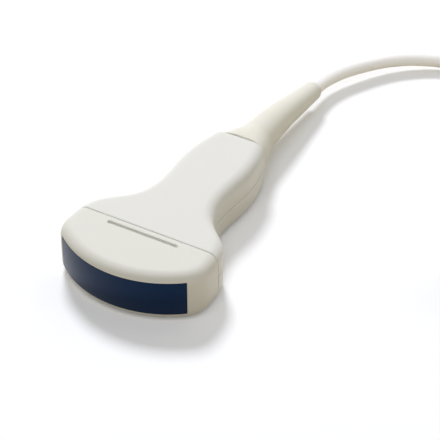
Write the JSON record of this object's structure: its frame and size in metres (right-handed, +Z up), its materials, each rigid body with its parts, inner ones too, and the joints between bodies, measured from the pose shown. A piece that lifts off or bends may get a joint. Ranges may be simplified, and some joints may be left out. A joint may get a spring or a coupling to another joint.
{
  "type": "ultrasound transducer probe",
  "caption": "Hand-held convex-array ultrasound probe: curved dark lens in a flared white nosepiece, waisted handle, tapered strain relief and coiled cable with connector.",
  "frame": {"origin": "centre of the probe's box, without its cable, on the surface that it lies on", "axes": "+Y along the probe from the acoustic face to the strain relief, +Z up through its flat upper face, +X to the side where the cable is laid"},
  "size_m": [0.1788, 0.2512, 0.03],
  "materials": {
    "housing": "off-white moulded ABS, satin gloss",
    "lens": "dark blue-black silicone, smooth",
    "matching": "filled epoxy layer",
    "ceramic": "fired piezo ceramic with saw kerfs",
    "backing": "loaded epoxy, matt",
    "carrier": "milled",
    "polyimide": "amber flex film",
    "board": "green solder mask",
    "black_plastic": "moulded",
    "steel": "zinc plated",
    "boot": "cream elastomer, matt",
    "jacket": "pale grey cable jacket, satin",
    "brass": "turned",
    "copper": "fine coaxial cores",
    "tie": "hook-and-loop strap",
    "connector_case": "fine-textured moulding",
    "shroud": "plated shell",
    "gold": "gold plated"
  },
  "bodies": {
    "root": {"nosepiece": "housing", "acoustic_lens": "lens", "outer_matching_layer": "matching", "inner_matching_layer": "matching", "piezo_array": "ceramic", "backing_block": "backing", "array_carrier": "carrier", "upper_flex": "polyimide", "lower_flex": "polyimide", "interconnect_board": "board", "upper_flex_connector": "black_plastic", "lower_flex_connector": "black_plastic", "board_chips": "black_plastic", "board_screws": "steel", "handle_lower_shell": "housing", "handle_upper_shell": "housing", "strain_relief_boot": "boot", "cable_entry": "jacket", "cable_ferrule": "brass", "coax_ribbon": "copper", "cable_run": "jacket", "cable_coil": "jacket", "coil_tie": "tie", "cable_tail": "jacket", "connector_lower_shell": "connector_case", "connector_upper_shell": "connector_case", "connector_screws": "steel", "connector_shroud": "shroud", "contact_block": "black_plastic", "connector_contacts": "gold", "connector_board": "board", "connector_boot": "boot", "connector_ferrule": "brass", "cable_end": "jacket", "connector_ribbon": "copper"}
  },
  "joints": []
}
